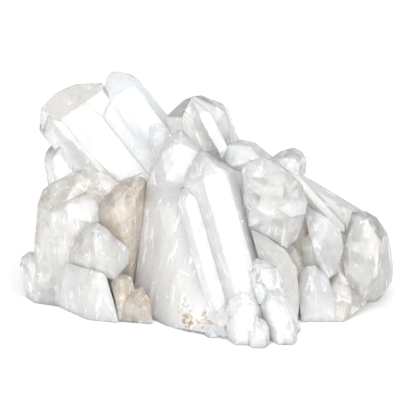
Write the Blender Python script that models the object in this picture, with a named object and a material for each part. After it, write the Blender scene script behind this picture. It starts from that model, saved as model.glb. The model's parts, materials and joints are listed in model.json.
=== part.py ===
"""A natural quartz crystal cluster: six-sided crystals and broken ones, grown together from one mound.

Run with: blender --background --python part.py
The cluster is one solid. It stands on a flat cut at z = 0, with +X to its right, -Y to its front and +Z up.
"""

import math
import random
from dataclasses import dataclass

import bmesh
import bpy
from mathutils import Matrix, Vector

MM = 0.001

# Quartz: a point's faces meet the prism faces at 38.2 degrees, so their normals lean this far off the axis.
POINT_LEAN = math.radians(51.8)
ROOT = 8.0  # mm that a prism runs on below its stated foot, into the mound, before its lower point begins
ROOT_POINT = 0.635  # a regular point's height for each mm across flats
SIDE_TURN = 60  # degrees from one side of a crystal to the next
BLANK = 120.0  # mm, half the side of the block that a crystal or a lump is cut from
HEART = 0.04  # the mound's heart, as a share of that block
FRONT_RISE = math.radians(18)  # the front is looked at from this far above the level
FRONT = Vector((0.0, -math.cos(FRONT_RISE), math.sin(FRONT_RISE)))

# Small crystals that fill the back and the ends, scattered over a dome
SPRIG_SEED = 7
SPRIG_COUNT = 34
SPRIG_TURN = (-8, 188)  # degrees round the dome, from the right end over the back to the left end
SPRIG_RISE = (8, 62)  # degrees above the level
SPRIG_LEAN = 0.35  # how far a sprig leans off the dome's outward direction, each way
SPRIG_LENGTH = (6, 11)  # mm
SPRIG_WIDTH = (3.0, 5.5)  # mm
DOME_CENTRE = Vector((0.0, 6.0, 0.0))
DOME_RADII = Vector((47.0, 25.0, 27.0))

# Lumps: rough blocks whose flat faces look every way
EVEN_TURN = math.pi * (3 - math.sqrt(5))  # turns that spread directions evenly over a sphere
LUMP_STRAY = 0.2  # radians, how far each face's direction is off that
LUMP_REACH = (0.85, 1.0)  # share of the lump's half size that a face lies out at

# Ledges: slimmer prisms that stand a little proud of a broad crystal's faces, side by side with it
LEDGE_SEED = 11
LEDGE_MIN_WIDTH = 11.0  # mm, crystals at least this wide have ledges
LEDGE_COUNT = 3
LEDGE_PROUD = (0.25, 0.7)  # mm
LEDGE_WIDTH = (0.22, 0.45)  # for each mm of the crystal's width
LEDGE_RISE = (0.35, 0.9)  # share of the prism's height
LEDGE_ASIDE = (0.4, 1.0)  # share of the way from the middle of a face to its edge

QUARTZ_COLOUR = (0.80, 0.79, 0.77, 1.0)
QUARTZ_ROUGHNESS = 0.12
QUARTZ_IOR = 1.544

ON_PLANE = 1e-7  # m, corners this near to a cutting plane are on it
FLAT_ANGLE = math.radians(0.05)  # neighbouring faces that turn less than this are one flat face


@dataclass
class Crystal:
    """One prism with a six-sided point. Lengths are in mm, angles in degrees.

    tip is where the six point faces would meet, and foot is where the prism leaves the mound.
    width is the size across flats. Side 0 faces the front, and the sides are counted to the right.
    roll turns the sides about the axis. sides scales each prism face's distance from the axis.
    drops lowers each point face along the axis, which makes that face the larger and blunts the tip.
    chips are further flat breaks: an outward direction, and the depth of the break below the tip along it.
    ledges says whether a broad crystal has ledges on its faces.
    """

    name: str
    tip: tuple
    foot: tuple
    width: float
    roll: float = 0.0
    sides: tuple = (1, 1, 1, 1, 1, 1)
    drops: tuple = (0, 2, 0, 2, 0, 2)
    chips: tuple = ()
    ledges: bool = True


CRYSTALS = [
    # back left: the two tall prisms and what stands beside them
    Crystal("back_left_low", (-48.3, 25, 50.0), (-43.9, 18, 26.0), 9.3, 10, drops=(0, 2, 1, 2, 0, 3)),
    Crystal("back_left_edge", (-52.0, 27, 56.2), (-33.1, 18, 32.0), 8.0, 15),
    # front left
    Crystal("far_left_low", (-56.2, 9, 17.5), (-53.8, 9, 2.7), 7.0, 0),
    # centre
    Crystal("small_bright", (-15.9, 5, 59.0), (-13.5, 12, 44.0), 5.0, 0),
    Crystal("front_foot", (9.7, -23, 16.9), (10.4, -23, 4.0), 9.0, 0),
    Crystal("front_knob", (13.9, -26.5, 10.6), (14.3, -26.5, 2.0), 6.0, 0),
    Crystal(
        "main_front", (-2.6, 1, 52.3), (12.5, -15.5, 3.6), 14.2, 10, sides=(1.1, 1, 1, 1, 1, 1), ledges=False
    ),
    Crystal("main_front_shoulder", (-7.3, -5, 42.7), (5.0, -19, 1.4), 6.4, 10),
    Crystal("front_stub", (3.3, -31.5, 8.6), (4.6, -22, 7.0), 3.6, 0, drops=(2, 2, 2, 2, 2, 2)),
    Crystal("foot_lump_left", (-6.8, -16, 6.5), (-4.8, -15, -1.0), 5.0, 10),
    Crystal("foot_lump_middle", (-2.5, -18.5, 5.6), (-1.2, -17, -1.0), 4.6, 30),
    Crystal("foot_lump_right", (0.2, -21.5, 5.2), (1.8, -20, -1.0), 4.4, 0),
    # right
    Crystal("right_long", (53.0, 9, 19.5), (25.0, 14, 35.5), 9.0, 0),
    Crystal("right_thin", (43.3, 2, 22.2), (28.7, 4, 38.2), 3.6, 0),
    Crystal("clear_front_low", (17.0, -24, 17.6), (21.3, -24, 3.0), 6.6, 0),
    Crystal("right_cleft", (30.8, 2, 26.0), (33.4, 2, 9.5), 6.0, 15),
    Crystal("clear_front", (13.2, -17, 24.8), (21.3, -17, 3.0), 8.6, 0),
    # back
    Crystal("rear_left_broad", (-38, 34, 44), (-30, 20, 14), 15.0, 5),
    Crystal("rear_left_low", (-44, 27, 26), (-36, 16, 8), 9.0, 15),
    Crystal("rear_left_end", (-46, 33, 16), (-36, 18, 6), 9.0, 0),
    Crystal("rear_left_tall", (-24, 34, 52), (-18, 18, 16), 14.0, 20),
    Crystal("rear_centre_low", (-12, 38, 30), (-8, 20, 10), 13.0, 10),
    Crystal("rear_centre", (2, 34, 50), (3, 20, 8), 20.0, 0),
    Crystal("rear_right", (24, 34, 34), (16, 20, 10), 14.0, 0),
    Crystal("rear_right_low", (38, 30, 22), (30, 16, 8), 12.0, 25),
    Crystal("rear_right_end", (51, 24, 16), (42, 14, 6), 9.0, 0),
    Crystal("rear_foot_left", (-26, 37, 14), (-24, 20, 5), 10.0, 0),
    Crystal("rear_foot_centre", (6, 38, 15), (4, 22, 5), 11.0, 15),
    Crystal("rear_foot_right", (24, 36, 13), (20, 20, 5), 9.0, 0),
]


@dataclass
class Shard:
    """A broken crystal or block: the closed form with flat faces over its corners, which are in mm."""

    name: str
    corners: tuple


SHARDS = [
    Shard("back_left_broad", (
        (-46.8, 23.5, 54.3), (-33, 23.5, 63.4), (-42.4, 32, 63.6), (-33.2, 26.1, 65.2),
        (-48.4, 33.4, 60.7), (-52.2, 32.4, 57.4), (-12.3, 11.6, 38.5), (-25.8, 11.5, 29.1),
        (-53.7, 31, 55.7), (-54.4, 31, 48.5), (-33, 21, 23.7), (-33.5, 36, 62.1), (-48, 38, 59.7),
        (-54.2, 38, 52.1), (-29.3, 36, 23.6), (-12.6, 36, 30.5), (-11.4, 19, 35),
    )),
    Shard("back_left_step", (
        (-46.4, 22.6, 54.5), (-38.3, 22.6, 59.9), (-32.6, 19.8, 55.5), (-18.9, 13.2, 39.9),
        (-27.9, 13, 36.8), (-36.7, 17, 44.3), (-41.3, 20, 49), (-46.8, 26, 54.3), (-38.4, 26, 59.5),
        (-32.7, 24, 54.5), (-19.1, 18, 38.5), (-28.3, 18, 35.3), (-41.8, 24, 47.3),
    )),
    Shard("back_left_tall", (
        (-29.5, 21.5, 61.7), (-23.2, 21.5, 65.8), (-31.8, 28.8, 66.5), (-27.6, 28, 68.6),
        (-25.6, 25, 67.3), (-30.6, 29.5, 68), (-21.6, 26, 66.2), (-23.8, 31, 66.7),
        (-33.1, 27, 62.1), (-32.6, 20, 55.4), (-18.7, 10, 40.5), (-2.8, 9.5, 41), (-8.9, 9.5, 36.8),
        (-0.9, 16, 42.3), (-21.3, 32, 64.3), (-32.5, 36, 62.8), (-26.8, 38, 65.7), (-12.2, 24, 30.8),
        (-1, 26, 38.5),
    )),
    Shard("left_block", (
        (-42.2, 0.5, 30.4), (-43.3, 0, -1), (-47.4, 3, 29.9), (-54.1, 8, 17.8), (-54.7, 4, -1),
        (-49.2, 2.5, -1.4), (-52.7, 9, 30.5), (-51.4, 12, 34.5), (-42.5, 1.2, 32.4),
        (-39.6, 6, 35.4), (-32.1, 7, 34.7), (-33.3, 1.5, 27.2), (-37.5, 0.8, 28.1), (-34, 4, 1),
        (-34.1, 3, -4.7), (-49, 13, 36.4), (-45.4, 14, 37.7), (-39.7, 14, 39.7), (-34.7, 13, 39),
        (-48, 22, 11), (-35, 22, 11), (-55, 20, -5.6), (-35.3, 20, -5.6),
    )),
    Shard("crown_right", (
        (-37.7, 6, 36.3), (-37.9, 9, 39.6), (-36.2, 10, 40.9), (-34, 10, 41.8), (-30.6, 9, 40.2),
        (-27.1, 7, 38.2), (-31.5, 4, 34.7), (-33.3, 4.5, 36.8), (-27.6, 6, 28.3), (-34.5, 5, 30.2),
        (-37.6, 18, 38.5), (-29.3, 18, 32.6),
    )),
    Shard("crown_left", (
        (-50.7, 8.5, 32.3), (-49.7, 11, 35.1), (-45.7, 11.5, 38.2), (-40.9, 11, 40.9),
        (-37.5, 11, 41.5), (-35.1, 8, 39.8), (-35.6, 6, 36.6), (-39.5, 4.8, 35.4),
        (-43.5, 2.5, 33.3), (-47.5, 4.5, 31.7), (-40.1, 6, 38.5), (-46.3, 20, 32), (-38.6, 20, 35.3),
    )),
    Shard("brown", (
        (-33.7, 3, 29.3), (-31.4, 3, 35), (-27.2, 4, 39.1), (-24.3, 6, 40.1), (-20.4, 7, 40.5),
        (-18.6, 7, 38.9), (-19, 5, 28.6), (-19.9, 4, 20.9), (-23.1, 1, 7.2), (-27.6, 0, 7.6),
        (-31.8, 1, 26.4), (-28.6, -2.5, 33.3), (-24.8, -1, 37.5), (-21.3, 0, 36.3),
        (-25.7, -3.5, 27.3), (-23.2, -2, 25.2), (-31.4, 20, 18.6), (-21.6, 20, 28.7),
        (-28.1, 12, -2.3), (-27.4, 2, -2.2),
    )),
    Shard("left_front_small", (
        (-41.3, -3, 19.8), (-40.1, -2, 23), (-36.9, -2, 27.5), (-33.2, -2.5, 28.9),
        (-30.2, -3, 27.2), (-23.1, -5, 20.6), (-24, -6, 16.8), (-27.9, -7, 11.7),
        (-32.6, -7.5, 13.8), (-37.2, -6, 15.5), (-42.3, -3, 16.3), (-33.8, -7, 26),
        (-32.9, -9.5, 20.3), (-28.5, -9, 18.6), (-37.4, -6.5, 18.9), (-33.6, 8, 16.1),
        (-38.3, 8, 16.1), (-30.5, 6, 10.3),
    )),
    Shard("left_foot", (
        (-43.4, -4, 16.7), (-32.5, -8.5, 15.5), (-30.4, -9, 14.4), (-27.8, -11, 5.6),
        (-26.6, -12, 0.2), (-36.2, -9.5, 0.1), (-39.6, -3, -0.1), (-46.5, 1, -0.4),
        (-34.5, -10.5, 13.1), (-40.6, -7.5, 8.4), (-34.1, 8, -0.7), (-43.6, 8, -0.7),
    )),
    Shard("brown_base", (
        (-29.4, -7, 11.4), (-28.3, -6, 12.9), (-26.2, -5.5, 13.7), (-23.2, -5.5, 12.7),
        (-21.9, -8, 9.2), (-25, -11, 7.9), (-28.4, -9.5, 9.5), (-27.4, -11, 6.9), (-26.7, -11, -0.6),
        (-25.6, -10, 12), (-26, 6, 3.5), (-21.2, 4, 1), (-22.6, 0, -0.7),
    )),
    Shard("base_shard", (
        (-27.6, -9, 6.1), (-22.4, -9, 9.6), (-19.7, -9, 10.9), (-17.3, -11, 7.2), (-16.4, -13, 0.6),
        (-26.5, -10.5, -0.8), (-20.8, -12, 8.9), (-21.4, 6, 0.2),
    )),
    Shard("left_tip", (
        (-8.4, 8, 54.9), (-12.6, 7, 52.1), (-15, 5, 48.6), (-17.8, 4, 40.7), (-8, 2, 51.8),
        (-10.1, 2, 51.5), (-13.7, 2.5, 49.2), (-1.8, 6, 49.8), (-2.4, 2, 48.8), (-6.5, -1, 40),
        (-12.8, 0, 41.3), (-17.7, 5, 33.4), (-9.5, 0.5, 47.3), (-2.5, 16, 49.4), (-11.7, 16, 49.4),
        (-15, 14, 30.6), (-4, 8, 34.1),
    )),
    Shard("main_left", (
        (-18.2, 5, 39.8), (-22.7, 0, 8), (-7.3, -17, 6.9), (-15.9, 1.5, 36.1), (-20.8, -5.5, -3),
        (-7, -18.9, 1.6), (-19.5, 3.1, 29.3), (1.2, -11.8, 19.6), (-6.6, -0.8, 35.9),
        (-9.6, 1.4, 38.7), (-14.4, 2.4, 38.4), (5.8, -23.5, 0.8), (-17.5, 6, 43.3), (-15.1, 7, 47.7),
        (-13, 6.5, 47.2), (-10.9, 5.5, 45.9), (-7.2, 3.5, 42.7), (-2.4, 8, 35.7), (-15.2, 18, 29.3),
        (-2.5, 12, 11.3), (-21.4, 8, 2.7), (-8.9, 8, -4.1), (3.7, 0, -0.7),
    )),
    Shard("back_centre", (
        (-4.6, 14, 63.7), (-2.1, 16, 63.6), (4.3, 20, 60.2), (6.5, 20, 58), (10, 20, 48),
        (-13.7, 20, 55.4), (-7.6, 16, 62), (-15.1, 24, 51.2), (-13.2, 20, 45.1), (-7.8, 9, 58.1),
        (-0.6, 4, 49.5), (-5.4, 6, 45.8), (5.5, 13, 59), (7.3, 10, 47.8), (-2.5, 28, 59.3),
        (7, 30, 54), (10.4, 32, 41.9), (-13.9, 34, 48.1), (-5.8, 32, 56.8),
    )),
    Shard("centre_strip", (
        (-4.8, 12, 63.8), (-2.7, 5.5, 59.5), (-1.5, 6.5, 60.8), (0.9, 7, 60.1), (5.9, 2, 50.9),
        (3.3, 1, 49.6), (4.2, 2, 46.9), (-0.9, 14, 53.1), (5.2, 12, 47.3), (2.1, 12, 57.3),
    )),
    Shard("right_block", (
        (9.8, 0, 45.3), (12.6, 3, 46.6), (16.8, 4, 47), (21, 4, 45.7), (22.7, 1, 44.1),
        (28.1, 0, 40), (29.6, -1, 35.3), (29.3, -2, 31.3), (26.9, -4, 24.4), (23.5, -7, 21.9),
        (18.9, -9, 26.1), (15.9, -9.5, 27.9), (12, -10, 29.9), (10.3, -6, 36.9), (15.9, -6, 40),
        (21.9, -8, 38.2), (22.5, -10, 33.6), (17.5, -11, 33.9), (12.3, -9, 36.3), (13.2, 18, 40.8),
        (29, 18, 32.6), (27.3, 12, 19.7), (14.6, 8, 22.7),
    )),
    Shard("right_block_lip", (
        (10.6, -6, 39.4), (12.9, -6.5, 40.2), (15.7, -9, 39.1), (14.6, -10, 36.4), (12, -9.5, 34.4),
        (10.3, -7, 36), (13, -4, 36.3), (14.2, -5, 35.1),
    )),
    Shard("right_block_shield", (
        (20.5, -7, 38.2), (27.3, -2, 40), (29.8, -2, 35.3), (29.1, -4, 31.9), (24.2, -11, 33),
        (19.8, -10.5, 35.6), (23.9, -10, 37.6), (27.8, 2, 31.2), (23.1, 0, 35),
    )),
    Shard("right_knob", (
        (18.8, 7, 46.1), (22.1, 8, 48.1), (26.1, 9, 49), (28.6, 9, 47.8), (30.1, 8, 45.2),
        (29.7, 6, 42), (27.7, 3, 40.1), (23.3, 2, 44.4), (24.5, 3, 47.2), (26.9, 2.5, 46.8),
        (21.7, 4, 43.2), (23.9, 16, 44.6), (29.5, 16, 43.6), (28.7, 16, 37.2), (20.9, 16, 41.4),
    )),
    Shard("right_ridge", (
        (9.7, 11, 51), (14.3, 11, 50.1), (19.8, 9, 45.9), (16.3, 5, 46.1), (11.4, 4, 45.7),
        (6.6, 2, 44.7), (3, 5, 48.6), (6, 6, 50.5), (12.3, 6.5, 50), (9.6, 3, 42.9), (18.2, 7, 41.7),
        (10.1, 22, 46.2), (19.5, 20, 41.9),
    )),
    Shard("right_middle", (
        (28.7, 2, 33.4), (32.2, 0, 31.2), (36.7, -1, 29.3), (40.4, -1, 24.9), (41.1, -2, 19.8),
        (38.6, -5, 13.8), (35.4, -7, 11.7), (32.7, -6, 17.4), (30.3, -3.5, 24.8), (36.6, 12, 23),
        (41.6, 12, 14.7), (36.7, 8, 7.8),
    )),
    Shard("right_end", (
        (44.1, 6, 29.3), (48.5, 7, 29.3), (52, 7, 27.3), (55.6, 7, 22.1), (56.8, 7, 17.5),
        (56.9, 6, 12.9), (57.7, 5, 10.6), (57, 3, 7.8), (54.7, 1, 4.6), (51.1, -0.5, 2.9),
        (46.1, -1.5, 2.3), (41.7, -3, 8.8), (41.2, 1, 18.7), (42.8, 3, 23.5), (44, 2, 27.4),
        (48.6, 2.5, 27.9), (52.3, 1, 21.9), (51.8, -2, 11.7), (46.8, -4, 6.9), (42.5, -3, 13.1),
        (48.5, 20, 23.7), (56.9, 20, 15.2), (57.4, 18, -1.3), (46.1, 18, -1.3),
    )),
    Shard("right_front", (
        (27.4, -5, 13.8), (29.4, -6, 16.2), (32.4, -6, 16.5), (36.3, -7, 12.4), (38.1, -9, 6.4),
        (38.4, -11, 0.1), (28.2, -11, 0.1), (26.8, -8, 7.6), (31, -10, 11.6), (33.6, 8, 6.1),
        (38.3, 6, 0.2), (30.5, 6, 0.2),
    )),
    Shard("right_matrix", (
        (36.2, -3, 10.1), (40.1, -2, 13.3), (43.3, -5, 8.3), (48.5, -4, 3.3), (43.9, -7, 1.6),
        (40.8, -11, 0.1), (36.6, -11, 0.1), (36.5, -7, 5.6), (43.3, 8, -0.7), (40.1, 8, -0.7),
    )),
    Shard("right_of_main", (
        (12.3, -11, 29.9), (17, -10, 27.1), (23.1, -9, 22.4), (26.5, -8, 16.3), (27.5, -10, 6.8),
        (26.5, -14, -0.2), (22.7, -17, 0.2), (17.5, -18, 13.3), (14.5, -15, 23), (16.7, 6, 20.2),
        (25.5, 6, 10.3), (25.4, 0, -4),
    )),
    Shard("glass_sliver", (
        (11.5, -19, 19.6), (13.8, -19, 19.9), (15.5, -23, 14.7), (17.7, -25, 11.2),
        (14.6, -23.5, 11.2), (16.7, -20, 16.3), (14.3, -12, 7.6),
    )),
]


@dataclass
class Lump:
    """A block of massive quartz with flat broken faces. Its box is in mm, and seed sets its faces."""

    name: str
    low: tuple
    high: tuple
    seed: int
    faces: int = 16


LUMPS = [
    Lump("mound_left", (-52, 6, -14), (-12, 34, 26), 1),
    Lump("mound_centre", (-24, -4, -18), (28, 34, 34), 2),
    Lump("mound_right", (10, -4, -14), (54, 28, 22), 3),
    Lump("mound_right_high", (16, 4, 4), (48, 24, 32), 4),
]


def cut(bm, point, outward):
    """Cuts off what lies outward of a plane and closes the cut."""
    geometry = bm.verts[:] + bm.edges[:] + bm.faces[:]
    result = bmesh.ops.bisect_plane(
        bm, geom=geometry, dist=ON_PLANE, plane_co=point, plane_no=outward, clear_outer=True
    )
    edges = [item for item in result["geom_cut"] if isinstance(item, bmesh.types.BMEdge)]
    if edges:
        bmesh.ops.contextual_create(bm, geom=edges)


def block():
    bm = bmesh.new()
    bmesh.ops.create_cube(bm, size=2 * BLANK * MM)
    return bm


def crystal_mesh(spec):
    """The crystal, cut from a block standing on its axis and then laid where it grows."""
    tip, foot = Vector(spec.tip) * MM, Vector(spec.foot) * MM
    length = (tip - foot).length
    bm = block()
    for number in range(6):
        side = side_direction(spec, number)
        cut(bm, side * spec.width / 2 * spec.sides[number] * MM, side)
        slope = math.sin(POINT_LEAN) * side + Vector((0.0, 0.0, math.cos(POINT_LEAN)))
        cut(bm, Vector((0.0, 0.0, length - spec.drops[number] * MM)), slope)
        slope.z = -slope.z
        cut(bm, Vector((0.0, 0.0, -(ROOT + spec.width * ROOT_POINT) * MM)), slope)
    place = crystal_frame(spec).to_4x4()
    place.translation = foot
    bmesh.ops.transform(bm, matrix=place, verts=bm.verts)
    for direction, depth in spec.chips:
        outward = Vector(direction).normalized()
        cut(bm, tip - outward * depth * MM, outward)
    return bm


def shard_mesh(spec):
    """The smallest bulging form over the corners."""
    bm = bmesh.new()
    for corner in spec.corners:
        bm.verts.new(Vector(corner) * MM)
    hull = bmesh.ops.convex_hull(bm, input=bm.verts)
    spare = hull["geom_interior"] + hull["geom_unused"]
    inside = {item for item in spare if isinstance(item, bmesh.types.BMVert)}
    bmesh.ops.delete(bm, geom=list(inside), context="VERTS")
    return bm


def lump_mesh(spec):
    """A rough block: a box, cut round by planes that face every way."""
    rng = random.Random(spec.seed)
    low, high = Vector(spec.low) * MM, Vector(spec.high) * MM
    centre, half = (low + high) / 2, (high - low) / 2
    bm = block()
    for number in range(spec.faces):
        # directions spread evenly over a sphere, each a little off its place
        height = 1 - 2 * (number + 0.5) / spec.faces
        turn = number * EVEN_TURN + rng.uniform(-LUMP_STRAY, LUMP_STRAY)
        ring = math.sqrt(1 - height * height)
        outward = Vector((ring * math.cos(turn), ring * math.sin(turn), height))
        reach = Vector([outward[k] * half[k] for k in range(3)])
        normal = Vector([outward[k] / half[k] for k in range(3)]).normalized()
        cut(bm, centre + reach * rng.uniform(*LUMP_REACH), normal)
    return bm


def sprigs():
    """Small crystals over the back and the ends of the mound, pointing outward."""
    rng = random.Random(SPRIG_SEED)
    found = []
    for number in range(SPRIG_COUNT):
        first, last = SPRIG_TURN
        turn = math.radians(first + (last - first) * (number + rng.random()) / SPRIG_COUNT)
        rise = math.radians(rng.uniform(*SPRIG_RISE))
        outward = Vector((math.cos(turn) * math.cos(rise), math.sin(turn) * math.cos(rise), math.sin(rise)))
        foot = DOME_CENTRE + Vector([outward[k] * DOME_RADII[k] for k in range(3)])
        lean = Vector([rng.uniform(-SPRIG_LEAN, SPRIG_LEAN) for k in range(3)])
        tip = foot + (outward + lean).normalized() * rng.uniform(*SPRIG_LENGTH)
        width = rng.uniform(*SPRIG_WIDTH)
        roll = rng.uniform(0, SIDE_TURN)
        found.append(Crystal(f"sprig_{number:02d}", tuple(tip), tuple(foot), width, roll))
    return found


def crystal_frame(spec):
    """The crystal's own axes in the world: local -Y is its front, and local Z its long axis."""
    axis = (Vector(spec.tip) - Vector(spec.foot)).normalized()
    front = (FRONT - FRONT.dot(axis) * axis).normalized()
    right = axis.cross(front)
    return Matrix((right, -front, axis)).transposed()


def side_direction(spec, number):
    """The way that a prism face looks, in the crystal's own axes."""
    turn = math.radians(spec.roll + SIDE_TURN * number)
    return Vector((math.sin(turn), -math.cos(turn), 0.0))


def ledges():
    """Slim parallel prisms on the faces of the broad crystals, each ending below its host's point."""
    rng = random.Random(LEDGE_SEED)
    found = []
    for host in CRYSTALS:
        if host.width < LEDGE_MIN_WIDTH or not host.ledges:
            continue
        frame = crystal_frame(host)
        tip, foot = Vector(host.tip), Vector(host.foot)
        shoulder = (tip - foot).length - ROOT_POINT * host.width
        for number in rng.sample(range(6), LEDGE_COUNT):
            width = host.width * rng.uniform(*LEDGE_WIDTH)
            outward = side_direction(host, number)
            along = Vector((0.0, 0.0, 1.0)).cross(outward)
            out = host.width / 2 * host.sides[number] + rng.uniform(*LEDGE_PROUD) - width / 2
            to_edge = (host.width / math.sqrt(3) - width) / 2
            aside = rng.choice((-1, 1)) * to_edge * rng.uniform(*LEDGE_ASIDE)
            shift = outward * out + along * aside
            height = shoulder * rng.uniform(*LEDGE_RISE)
            start = foot + frame @ shift
            end = start + frame @ Vector((0.0, 0.0, height))
            name = f"{host.name}_ledge_{number}"
            found.append(Crystal(name, tuple(end), tuple(start), width, host.roll))
    return found


def add_object(name, bm, collection):
    bmesh.ops.recalc_face_normals(bm, faces=bm.faces)
    mesh = bpy.data.meshes.new(name)
    bm.to_mesh(mesh)
    bm.free()
    obj = bpy.data.objects.new(name, mesh)
    collection.objects.link(obj)
    return obj


def clear_scene():
    for obj in list(bpy.data.objects):
        bpy.data.objects.remove(obj)


def quartz_material():
    material = bpy.data.materials.new("quartz")
    material.use_nodes = True
    shader = material.node_tree.nodes["Principled BSDF"]
    shader.inputs["Base Color"].default_value = QUARTZ_COLOUR
    shader.inputs["Roughness"].default_value = QUARTZ_ROUGHNESS
    shader.inputs["Metallic"].default_value = 0.0
    shader.inputs["IOR"].default_value = QUARTZ_IOR
    return material


def grown_together():
    """Makes every crystal and lump, and leaves them as guides in one collection."""
    collection = bpy.data.collections.new("grown_together")
    bpy.context.scene.collection.children.link(collection)
    makers = {Crystal: crystal_mesh, Shard: shard_mesh, Lump: lump_mesh}
    specs = CRYSTALS + ledges() + sprigs() + SHARDS + LUMPS
    pieces = [add_object(spec.name, makers[type(spec)](spec), collection) for spec in specs]
    for piece in pieces:
        piece.hide_render = True
        piece.display_type = "WIRE"
    return collection


def below_floor():
    """A block that fills everything under z = 0, for the flat cut."""
    bm = block()
    bmesh.ops.translate(bm, vec=Vector((0.0, 0.0, -BLANK * MM)), verts=bm.verts)
    cutter = add_object("below_floor", bm, bpy.context.scene.collection)
    cutter.hide_render = True
    cutter.display_type = "WIRE"
    return cutter


def outer_shell(bm):
    """Keeps the outermost skin, so that no sealed gap is left between the crystals inside the solid."""
    shells = []
    left = set(bm.faces)
    while left:
        shell = {left.pop()}
        edge_of = list(shell)
        while edge_of:
            face = edge_of.pop()
            for edge in face.edges:
                for other in edge.link_faces:
                    if other in left:
                        left.remove(other)
                        shell.add(other)
                        edge_of.append(other)
        shells.append(shell)
    shells.sort(key=len)
    inner = [face for shell in shells[:-1] for face in shell]
    bmesh.ops.delete(bm, geom=inner, context="FACES")


def united_mesh(collection, cutter):
    """Joins the pieces into one solid with an exact Boolean, and cuts it off flat."""
    seed = add_object("seed", block_of_quartz(), bpy.context.scene.collection)
    join = seed.modifiers.new("join", "BOOLEAN")
    join.operation = "UNION"
    join.operand_type = "COLLECTION"
    join.collection = collection
    join.solver = "EXACT"
    flat = seed.modifiers.new("flat", "BOOLEAN")
    flat.operation = "DIFFERENCE"
    flat.object = cutter
    flat.solver = "EXACT"
    bpy.context.view_layer.update()
    graph = bpy.context.evaluated_depsgraph_get()
    bm = bmesh.new()
    bm.from_mesh(seed.evaluated_get(graph).to_mesh())
    bpy.data.objects.remove(seed)
    return bm


def block_of_quartz():
    """The heart of the mound, which every other piece is joined to."""
    bm = block()
    bmesh.ops.scale(bm, vec=Vector((HEART, HEART, HEART)), verts=bm.verts)
    return bm


def centre_on_box(bm):
    """Puts the middle of the solid's box over the origin."""
    low = [min(vert.co[k] for vert in bm.verts) for k in range(2)]
    high = [max(vert.co[k] for vert in bm.verts) for k in range(2)]
    shift = Vector((-(low[0] + high[0]) / 2, -(low[1] + high[1]) / 2, 0.0))
    bmesh.ops.translate(bm, vec=shift, verts=bm.verts)


def build():
    clear_scene()
    bm = united_mesh(grown_together(), below_floor())
    outer_shell(bm)
    bmesh.ops.dissolve_limit(bm, angle_limit=FLAT_ANGLE, verts=bm.verts, edges=bm.edges)
    centre_on_box(bm)
    cluster = add_object("quartz_cluster", bm, bpy.context.scene.collection)
    cluster.data.materials.append(quartz_material())
    return cluster


if __name__ == "__main__":
    build()
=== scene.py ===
"""The looks of a natural quartz crystal cluster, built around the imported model.

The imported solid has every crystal's flat faces. Here each crystal is made again with softened edges, and
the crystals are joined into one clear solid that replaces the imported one. What lies inside the quartz, such
as milk, veils and cracks, is in its material. Crystal sizes and places are in millimetres, in the frame
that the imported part's source has before it is centred.
"""

import json
import math
import random
from dataclasses import dataclass

import bmesh
import bpy
from mathutils import Matrix, Vector

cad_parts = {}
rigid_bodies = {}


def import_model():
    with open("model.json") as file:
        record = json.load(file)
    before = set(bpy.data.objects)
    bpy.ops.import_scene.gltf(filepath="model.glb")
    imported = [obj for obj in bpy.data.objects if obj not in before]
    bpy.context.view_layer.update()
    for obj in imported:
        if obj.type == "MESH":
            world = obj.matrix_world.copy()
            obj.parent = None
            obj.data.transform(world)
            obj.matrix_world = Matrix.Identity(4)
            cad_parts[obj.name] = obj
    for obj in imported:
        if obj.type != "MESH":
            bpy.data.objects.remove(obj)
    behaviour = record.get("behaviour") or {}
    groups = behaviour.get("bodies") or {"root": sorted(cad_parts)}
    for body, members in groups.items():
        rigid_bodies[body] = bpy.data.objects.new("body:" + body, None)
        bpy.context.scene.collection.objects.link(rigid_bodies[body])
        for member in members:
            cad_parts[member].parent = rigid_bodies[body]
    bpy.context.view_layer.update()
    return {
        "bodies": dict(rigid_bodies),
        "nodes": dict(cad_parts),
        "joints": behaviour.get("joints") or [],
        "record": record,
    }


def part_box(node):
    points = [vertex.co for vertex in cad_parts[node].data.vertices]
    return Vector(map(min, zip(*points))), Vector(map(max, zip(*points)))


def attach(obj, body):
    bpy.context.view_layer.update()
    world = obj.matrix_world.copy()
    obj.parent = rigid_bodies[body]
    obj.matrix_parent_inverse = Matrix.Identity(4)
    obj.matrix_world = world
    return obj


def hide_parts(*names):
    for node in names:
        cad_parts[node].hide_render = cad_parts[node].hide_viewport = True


MM = 0.001

# Quartz: a point's faces meet the prism faces at 38.2 degrees, so their normals lean this far off the axis.
POINT_LEAN = math.radians(51.8)
ROOT = 8.0  # mm that a prism runs on below its stated foot, into the mound, before its lower point begins
ROOT_POINT = 0.635  # a regular point's height for each mm across flats
SIDE_TURN = 60  # degrees from one side of a crystal to the next
BLANK = 120.0  # mm, half the side of the block that a crystal or a lump is cut from
HEART = 0.04  # the mound's heart, as a share of that block
FRONT_RISE = math.radians(18)  # the front is looked at from this far above the level
FRONT = Vector((0.0, -math.cos(FRONT_RISE), math.sin(FRONT_RISE)))

# Small crystals that fill the back and the ends, scattered over a dome
SPRIG_SEED = 7
SPRIG_COUNT = 34
SPRIG_TURN = (-8, 188)  # degrees round the dome, from the right end over the back to the left end
SPRIG_RISE = (8, 62)  # degrees above the level
SPRIG_LEAN = 0.35  # how far a sprig leans off the dome's outward direction, each way
SPRIG_LENGTH = (6, 11)  # mm
SPRIG_WIDTH = (3.0, 5.5)  # mm
DOME_CENTRE = Vector((0.0, 6.0, 0.0))
DOME_RADII = Vector((47.0, 25.0, 27.0))

# Lumps: rough blocks whose flat faces look every way
EVEN_TURN = math.pi * (3 - math.sqrt(5))  # turns that spread directions evenly over a sphere
LUMP_STRAY = 0.2  # radians, how far each face's direction is off that
LUMP_REACH = (0.85, 1.0)  # share of the lump's half size that a face lies out at

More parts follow.
